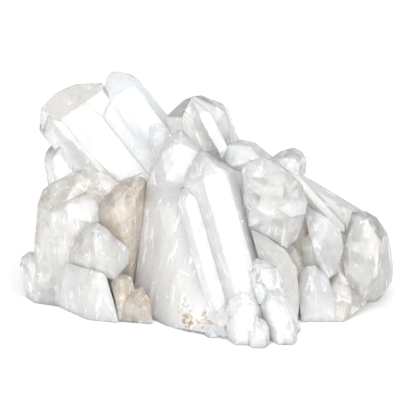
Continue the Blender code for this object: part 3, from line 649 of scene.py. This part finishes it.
def axis_of(spec):
    """Where a piece starts and ends along its growth, in metres."""
    if isinstance(spec, Crystal):
        return Vector(spec.foot) * MM, Vector(spec.tip) * MM
    if isinstance(spec, Shard):
        along = Vector(SHARD_AXES.get(spec.name, (0.0, 0.0, 1.0))).normalized()
        reach = [Vector(corner).dot(along) for corner in spec.corners]
        middle = sum((Vector(corner) for corner in spec.corners), Vector()) / len(spec.corners)
        start = middle + along * (min(reach) - middle.dot(along))
        return start * MM, (start + along * (max(reach) - min(reach))) * MM
    return LUMP_AXIS


def soften(bm, width):
    """Wears the sharp edges of a piece by a narrow bevel, and returns the bevel's faces."""
    offset = min(EDGE_SOFTEST, max(EDGE_SHARPEST, EDGE_SOFTNESS * width)) * MM
    bmesh.ops.dissolve_degenerate(bm, dist=offset * DISSOLVED, edges=bm.edges)
    sharp = [edge for edge in bm.edges if edge.calc_face_angle(0.0) > SHARP_TURN]
    worn = bmesh.ops.bevel(bm, geom=sharp, offset=offset, segments=1, affect="EDGES", clamp_overlap=True)
    return set(worn["faces"])


def mark_faces(bm, spec, worn):
    """Writes on each face what its material reads: the piece's long axis, foot and looks."""
    looks = looks_of(spec.name)
    foot, tip = axis_of(spec)
    axis = (tip - foot).normalized()
    layers = bm.faces.layers
    axis_layer = layers.float_vector.new("axis")
    foot_layer = layers.float_vector.new("foot")
    numbers = {"span": (tip - foot).length, **looks}
    number_layers = {name: layers.float.new(name) for name in numbers}
    prism_layer = layers.float.new("prism")
    worn_layer = layers.float.new("worn")
    bm.normal_update()
    for face in bm.faces:
        face[axis_layer] = axis
        face[foot_layer] = foot
        for name, layer in number_layers.items():
            face[layer] = numbers[name]
        face[prism_layer] = 1.0 if abs(face.normal.dot(axis)) < PRISM_TILT else 0.0
        # the bevel faces, which the material makes whiter: partly real edge wear, partly a painted edge
        # highlight
        face[worn_layer] = 1.0 if face in worn else 0.0


def soft_piece(spec):
    makers = {Crystal: crystal_mesh, Shard: shard_mesh, Lump: lump_mesh}
    bm = makers[type(spec)](spec)
    worn = soften(bm, size_of(spec))
    mark_faces(bm, spec, worn)
    return bm


def quartz_body():
    """Every crystal with soft edges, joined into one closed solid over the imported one."""
    collection = bpy.data.collections.new("grown_together")
    bpy.context.scene.collection.children.link(collection)
    specs = CRYSTALS + ledges() + sprigs() + SHARDS + LUMPS
    pieces = [add_object(spec.name, soft_piece(spec), collection) for spec in specs]
    cutter = below_floor()
    bm = united_mesh(collection, cutter)
    for guide in pieces + [cutter]:
        bpy.data.objects.remove(guide)
    bpy.data.collections.remove(collection)
    outer_shell(bm)
    shift = settle_on_frame(bm)
    body = add_object("quartz_clear_body", bm, bpy.context.scene.collection)
    return body, shift


def settle_on_frame(bm):
    """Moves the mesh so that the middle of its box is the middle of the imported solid's."""
    low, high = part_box("quartz_cluster")
    own_low = [min(vert.co[k] for vert in bm.verts) for k in range(2)]
    own_high = [max(vert.co[k] for vert in bm.verts) for k in range(2)]
    shift = Vector([(low[k] + high[k] - own_low[k] - own_high[k]) / 2 for k in range(2)] + [0.0])
    bmesh.ops.translate(bm, vec=shift, verts=bm.verts)
    foot_layer = bm.faces.layers.float_vector.get("foot")
    for face in bm.faces:
        face[foot_layer] = face[foot_layer] + shift
    return shift


# ---- materials ----------------------------------------------------------------------------------


class Graph:
    """Short calls for building a material's nodes."""

    def __init__(self, name):
        self.material = bpy.data.materials.new(name)
        self.material.use_nodes = True
        self.tree = self.material.node_tree
        self.shader = self.tree.nodes["Principled BSDF"]
        self.output = self.tree.nodes["Material Output"]

    def node(self, kind, inputs=None, **settings):
        made = self.tree.nodes.new(kind)
        for name, value in settings.items():
            setattr(made, name, value)
        for name, value in (inputs or {}).items():
            self.feed(made.inputs[name], value)
        return made

    def feed(self, socket, value):
        if isinstance(value, bpy.types.NodeSocket):
            self.tree.links.new(value, socket)
        else:
            socket.default_value = value

    def math(self, operation, *values, clamp=False):
        made = self.node("ShaderNodeMath", operation=operation, use_clamp=clamp)
        for number, value in enumerate(values):
            self.feed(made.inputs[number], value)
        return made.outputs[0]

    def vector(self, operation, *values, output="Vector"):
        made = self.node("ShaderNodeVectorMath", operation=operation)
        for number, value in enumerate(values):
            self.feed(made.inputs[number], value)
        return made.outputs[output]

    def scaled(self, vector, factor):
        made = self.node("ShaderNodeVectorMath", operation="SCALE")
        self.feed(made.inputs[0], vector)
        self.feed(made.inputs["Scale"], factor)
        return made.outputs[0]

    def add_share(self, value, amount, share, clamp=False):
        """value and a share of amount."""
        return self.math("ADD", value, self.math("MULTIPLY", amount, share), clamp=clamp)

    def attribute(self, name, output="Fac"):
        return self.node("ShaderNodeAttribute", attribute_name=name).outputs[output]

    def noise(self, vector, kind, output="Fac"):
        inputs = {
            "Vector": vector,
            "Scale": kind.scale,
            "Detail": kind.detail,
            "Roughness": kind.roughness,
            "Distortion": kind.distortion,
        }
        return self.node("ShaderNodeTexNoise", inputs).outputs[output]

    def pattern(self, vector, kind):
        """The noise, with the part of it between its low and its high spread over 0..1."""
        return self.between(self.noise(vector, kind), kind.low, kind.high)

    def cells(self, vector, scale):
        """Cells of random shape: the colour and the middle of the cell that a place is in."""
        made = self.node("ShaderNodeTexVoronoi", {"Vector": vector, "Scale": scale})
        return made.outputs["Color"], made.outputs["Position"]

    def cell_edge(self, vector, scale):
        """How far a place is from the wall of its cell, where a cell is about 1 wide."""
        inputs = {"Vector": vector, "Scale": scale}
        made = self.node("ShaderNodeTexVoronoi", inputs, feature="DISTANCE_TO_EDGE")
        return made.outputs["Distance"]

    def between(self, value, low, high):
        """value brought from low..high to 0..1, and held there."""
        inputs = {"Value": value, "From Min": low, "From Max": high}
        return self.node("ShaderNodeMapRange", inputs).outputs["Result"]

    def mix(self, factor, first, second):
        made = self.node("ShaderNodeMix", data_type="RGBA")
        self.feed(made.inputs[0], factor)
        self.feed(made.inputs[6], first)
        self.feed(made.inputs[7], second)
        return made.outputs[2]


@dataclass
class Noise:
    """A noise texture. Its scale is for each metre, and low and high are the values that become 0 and 1."""

    scale: float
    detail: float
    roughness: float
    distortion: float = 0.0
    low: float = 0.0
    high: float = 1.0


WARM_TINT = (0.965, 0.94, 0.90, 1.0)
# bluish white: partly the milky quartz's own tint, partly a painted reflection of the cool softbox light
FROST_AND_REFLECTION_TINT = (0.895, 0.95, 0.99, 1.0)
STAIN_TINT = (0.50, 0.34, 0.19, 1.0)
ABSORB_COLOUR = (0.80, 0.76, 0.71, 1.0)
ABSORB_DENSITY = 6.0
MIDDLE = 0.5  # the middle of a colour's channel, or of a texture that runs over 0..1

STREAKING = 0.75  # how far textures are drawn out along a crystal: 0 not at all, 1 without end

# Broken quartz: cells with flat faces in two sizes, where the scale of cells is for each metre
SHARD_CELLS = 210.0
CHIP_CELLS = 420.0
CELL_TONE = (0.5, 0.5, 0.0)  # the shares of a cell's random red, green and blue that make its cloudiness
CHIP_TILT = 0.7  # for each 1 that a shard tilts
CELL_TILT = 0.24  # how steep the broken faces are

# Thin straight cracks: the walls between long cells, in patches only
LINE_CELLS = 150.0
LINE_EDGE = 0.014  # how far from the middle of the wall a crack ends, where a cell is about 1 wide
LINE_CORE = 0.004  # and how far it is at its whitest
LINE_PATCHES = Noise(200.0, 2.0, 0.5, low=0.57, high=0.65)

# Milk: how much each thing adds to a crystal's own
FOOT_MILK = 0.20  # at the foot, and nothing at the tip
BILLOWS = Noise(140.0, 3.0, 0.55, 0.4, low=0.30, high=0.70)
BILLOW_MILK = 0.16
VEILS = Noise(330.0, 5.0, 0.65, 0.5, low=0.585, high=0.625)
VEIL_MILK = 0.24
CRACK_MILK = 0.32
SPECKS = Noise(1500.0, 2.0, 0.5, low=0.70, high=0.77)
SPECK_MILK = 0.25
LINE_MILK = 0.35
# worn edges made whiter: partly real edge wear, partly a painted edge highlight
WORN_MILK_AND_EDGE_HIGHLIGHT = 0.25
MOST_MILK = 0.92  # some light always passes through

# Iron stain, in blotches and grains
BLOTCHES = Noise(260.0, 6.0, 0.70, 0.4, low=0.36, high=0.64)
STAIN_EVERYWHERE = 0.40  # the share of a place's stain that needs no blotch
STAIN_IN_BLOTCHES = 0.75
GRAINS = Noise(1100.0, 3.0, 0.6, low=0.60, high=0.70)
STAIN_IN_GRAINS = 0.8
RAGGED = Noise(420.0, 4.0, 0.5)  # what pushes the spots' outlines about
RAGGED_REACH = 0.014  # m, for a push of 1
SPOT_CORE = 0.4  # share of a spot's radius that is as brown as its middle

FROST_IN_VEILS = 0.5
# bluish white on worn edges: partly real edge wear, partly a painted edge highlight
FROST_AND_HIGHLIGHT_WHERE_WORN = 0.3

# Relief of the surface
GROWTH_LINES = Noise(60.0, 3.0, 0.6)
GROWTH_PACKING = 14.0  # a place is moved on along the crystal by this many times its distance from the foot
GROWTH_HEIGHT = 0.024 * MM
WAVES = Noise(120.0, 2.0, 0.5)
WAVE_HEIGHT = 0.036 * MM

POLISH = 0.04  # roughness of clear quartz
MILKY_ROUGHNESS = 0.30  # what full milk adds to it
SURFACE = {
    "IOR": 1.544,  # quartz
    "Subsurface Weight": 0.85,
    "Subsurface Radius": (1.0, 0.93, 0.85),
    "Subsurface Scale": 0.009,  # m
    "Coat Weight": 1.0,
    "Coat Roughness": 0.03,
    "Coat IOR": 1.6,
}


class Quartz(Graph):
    """The quartz's nodes. Its methods give what the material is made of at every place."""

    def __init__(self):
        super().__init__("quartz")
        self.place = self.node("ShaderNodeTexCoord").outputs["Object"]
        self.axis = self.attribute("axis", "Vector")
        self.worn = self.attribute("worn")
        self.broken = self.attribute("broken")
        from_foot = self.vector("SUBTRACT", self.place, self.attribute("foot", "Vector"))
        self.along = self.vector("DOT_PRODUCT", from_foot, self.axis, output="Value")
        # the place, pulled together along the crystal: textures become streaks along it
        pull = self.scaled(self.axis, self.math("MULTIPLY", self.along, STREAKING))
        self.streaked = self.vector("SUBTRACT", self.place, pull)
        self.shard_tone, self.shard_middle = self.cells(self.streaked, SHARD_CELLS)
        self.chip_tone, self.chip_middle = self.cells(self.place, CHIP_CELLS)
        self.veil = self.pattern(self.streaked, VEILS)

    def tone_step(self, tone):
        """How much cloudier or clearer a cell is than the middle."""
        mixed = self.vector("DOT_PRODUCT", tone, CELL_TONE, output="Value")
        return self.math("SUBTRACT", mixed, MIDDLE)

    def cracks(self):
        """Flat cells inside, each a little cloudier or clearer than the next."""
        steps = self.math("ADD", self.tone_step(self.shard_tone), self.tone_step(self.chip_tone))
        return self.math("MULTIPLY", steps, self.broken)

    def thin_cracks(self):
        """Straight cracks that start and stop."""
        line = self.between(self.cell_edge(self.streaked, LINE_CELLS), LINE_EDGE, LINE_CORE)
        return self.math("MULTIPLY", line, self.pattern(self.place, LINE_PATCHES))

    def milk(self):
        """Cloudy at the foot and clearer towards the point, in billows, veils, cracks and fine specks."""
        rise = self.math("DIVIDE", self.along, self.attribute("span"), clamp=True)
        billow = self.math("SUBTRACT", self.pattern(self.streaked, BILLOWS), MIDDLE)
        milk = self.add_share(self.attribute("milk"), self.math("SUBTRACT", 1.0, rise), FOOT_MILK)
        milk = self.add_share(milk, billow, BILLOW_MILK)
        milk = self.add_share(milk, self.veil, VEIL_MILK)
        milk = self.add_share(milk, self.cracks(), CRACK_MILK)
        milk = self.add_share(milk, self.pattern(self.place, SPECKS), SPECK_MILK)
        milk = self.add_share(milk, self.thin_cracks(), LINE_MILK)
        # worn edges turn whiter: partly real edge wear, partly a painted edge highlight
        return self.add_share(milk, self.worn, WORN_MILK_AND_EDGE_HIGHLIGHT, clamp=True)

    def settled_stain(self):
        """How brown the settled stain makes a place: strongest in the middle of a spot, 0 outside."""
        middle = (MIDDLE, MIDDLE, MIDDLE)
        push = self.vector("SUBTRACT", self.noise(self.place, RAGGED, "Color"), middle)
        ragged_place = self.vector("ADD", self.place, self.scaled(push, RAGGED_REACH))
        found = 0.0
        for (x, y, z), radius, strength in STAIN_SPOTS:
            away = self.vector("DISTANCE", ragged_place, (x * MM, y * MM, z * MM), output="Value")
            near = self.between(away, radius * MM, radius * SPOT_CORE * MM)
            found = self.math("MAXIMUM", self.math("MULTIPLY", near, strength), found)
        return found

    def stain(self):
        """Brown where it was marked or has settled, in blotches and grains."""
        level = self.math("ADD", self.attribute("stain"), self.settled_stain())
        blotch = self.pattern(self.place, BLOTCHES)
        stain = self.math("MULTIPLY", level, self.add_share(STAIN_EVERYWHERE, blotch, STAIN_IN_BLOTCHES))
        grain = self.math("MULTIPLY", self.pattern(self.place, GRAINS), level)
        return self.add_share(stain, grain, STAIN_IN_GRAINS, clamp=True)

    def colour(self):
        # bluish-white share: the crystal's own value, which partly paints the cool softbox's reflection, plus
        # milky veils, plus worn edges, which partly paint an edge highlight
        frost_and_reflection = self.add_share(self.attribute("frost_and_reflection"), self.veil, FROST_IN_VEILS)
        frost_and_reflection = self.add_share(frost_and_reflection, self.worn, FROST_AND_HIGHLIGHT_WHERE_WORN, clamp=True)
        clean = self.mix(frost_and_reflection, WARM_TINT, FROST_AND_REFLECTION_TINT)
        return self.mix(self.stain(), clean, STAIN_TINT)

    def cell_tilt(self, tone, place, middle):
        """The height of a flat face that leans its own random way in every cell."""
        lean = self.vector("SUBTRACT", tone, (MIDDLE, MIDDLE, MIDDLE))
        return self.vector("DOT_PRODUCT", lean, self.vector("SUBTRACT", place, middle), output="Value")

    def height(self):
        """Growth lines across the prism faces, a faint waviness, and broken faces that tilt cell by cell."""
        push = self.scaled(self.axis, self.math("MULTIPLY", self.along, GROWTH_PACKING))
        packed = self.vector("ADD", self.place, push)
        lines = self.math("MULTIPLY", self.noise(packed, GROWTH_LINES), self.attribute("prism"))
        relief = self.math("MULTIPLY", lines, GROWTH_HEIGHT)
        relief = self.add_share(relief, self.noise(self.place, WAVES), WAVE_HEIGHT)
        shard_tilt = self.cell_tilt(self.shard_tone, self.streaked, self.shard_middle)
        chip_tilt = self.cell_tilt(self.chip_tone, self.place, self.chip_middle)
        tilt = self.math("MULTIPLY", self.add_share(shard_tilt, chip_tilt, CHIP_TILT), self.broken)
        return self.add_share(relief, tilt, CELL_TILT)


def quartz_material():
    g = Quartz()
    milk = g.milk()
    bump = g.node("ShaderNodeBump", {"Height": g.height(), "Strength": 1.0, "Distance": 1.0})
    inputs = {
        "Transmission Weight": g.math("SUBTRACT", 1.0, g.math("MINIMUM", milk, MOST_MILK)),
        "Base Color": g.colour(),
        "Normal": bump.outputs["Normal"],
        "Roughness": g.add_share(POLISH, milk, MILKY_ROUGHNESS),
    }
    for name, value in {**inputs, **SURFACE}.items():
        g.feed(g.shader.inputs[name], value)
    absorb = g.node("ShaderNodeVolumeAbsorption", {"Color": ABSORB_COLOUR, "Density": ABSORB_DENSITY})
    g.tree.links.new(absorb.outputs[0], g.output.inputs["Volume"])
    return g.material


# ---- stage, light and camera --------------------------------------------------------------------

CAMERA_DISTANCE = 347.4  # mm, from the point that the camera looks at
CAMERA_TARGET = Vector((0.0, 0.0, 32.5))  # mm, before the shift
LENS = 100.0  # mm
SENSOR = 36.0  # mm
NEAREST = 0.01  # m, what is nearer to the camera than this isn't seen

FLOOR_SIDE = 8.0  # m
FLOOR_COLOUR = (0.96, 0.96, 0.96, 1.0)
FLOOR_ROUGHNESS = 0.9

AIM = Vector((0.0, 0.0, 0.03))  # m, what every light points at
WORLD_COLOUR = (0.985, 0.985, 1.0, 1.0)
WORLD_STRENGTH = 0.64
SUN = {"azimuth": 10.0, "rise": 72.0, "strength": 1.35, "spread": 80.0}  # all but the strength in degrees


@dataclass
class Softbox:
    """A rectangular light that looks at the crystals. Angles are in degrees, as in towards().

    distance and size are in m, and radiance is in W/m2/sr.
    """

    name: str
    azimuth: float
    rise: float
    distance: float
    size: tuple
    radiance: float
    colour: tuple


SOFTBOXES = [
    Softbox("left_box", -30.0, 23.0, 1.1, (0.60, 0.50), 0.75, (0.84, 0.93, 1.0)),
    Softbox("right_box", 30.0, 41.0, 1.1, (0.75, 0.70), 0.9, (0.93, 0.97, 1.0)),
    Softbox("front_fill", 0.0, 14.0, 1.2, (1.4, 0.7), 1.75, (1.0, 0.99, 0.98)),
]


def plain_material(name, colour, roughness):
    g = Graph(name)
    g.shader.inputs["Base Color"].default_value = colour
    g.shader.inputs["Roughness"].default_value = roughness
    return g.material


def floor():
    bpy.ops.mesh.primitive_plane_add(size=FLOOR_SIDE)
    plane = bpy.context.object
    plane.name = "floor"
    plane.data.materials.append(plain_material("floor_white", FLOOR_COLOUR, FLOOR_ROUGHNESS))


def towards(azimuth, rise):
    """A unit vector: azimuth in degrees to the right of the camera's side, rise above the floor."""
    turn, lift = math.radians(azimuth), math.radians(rise)
    return Vector((math.sin(turn) * math.cos(lift), -math.cos(turn) * math.cos(lift), math.sin(lift)))


def softbox(spec):
    width, height = spec.size
    light = bpy.data.lights.new(spec.name, "AREA")
    light.shape = "RECTANGLE"
    light.size, light.size_y = width, height
    light.energy = spec.radiance * math.pi * width * height
    light.color = spec.colour
    lamp = bpy.data.objects.new(spec.name, light)
    bpy.context.scene.collection.objects.link(lamp)
    lamp.location = AIM + towards(spec.azimuth, spec.rise) * spec.distance
    lamp.rotation_euler = (AIM - lamp.location).to_track_quat("-Z", "Y").to_euler()


def sky_sun(azimuth, rise, strength, spread):
    """A very wide, soft light from far off, the same over the whole floor."""
    light = bpy.data.lights.new("overhead", "SUN")
    light.energy = strength
    light.angle = math.radians(spread)
    lamp = bpy.data.objects.new("overhead", light)
    bpy.context.scene.collection.objects.link(lamp)
    lamp.rotation_euler = (-towards(azimuth, rise)).to_track_quat("-Z", "Y").to_euler()


def lights():
    world = bpy.data.worlds.new("studio")
    world.use_nodes = True
    background = world.node_tree.nodes["Background"]
    background.inputs["Color"].default_value = WORLD_COLOUR
    background.inputs["Strength"].default_value = WORLD_STRENGTH
    bpy.context.scene.world = world
    for spec in SOFTBOXES:
        softbox(spec)
    sky_sun(**SUN)


def camera(shift):
    lens = bpy.data.cameras.new("camera")
    lens.lens = LENS
    lens.sensor_width = SENSOR
    lens.clip_start = NEAREST
    eye = bpy.data.objects.new("camera", lens)
    bpy.context.scene.collection.objects.link(eye)
    target = CAMERA_TARGET * MM + shift
    eye.location = target + FRONT * CAMERA_DISTANCE * MM
    eye.rotation_euler = (-FRONT).to_track_quat("-Z", "Y").to_euler()
    bpy.context.scene.camera = eye


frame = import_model()
body, shift = quartz_body()
body.data.materials.append(quartz_material())
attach(body, "root")
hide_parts("quartz_cluster")
floor()
lights()
camera(shift)
bpy.context.scene.view_settings.view_transform = "Standard"
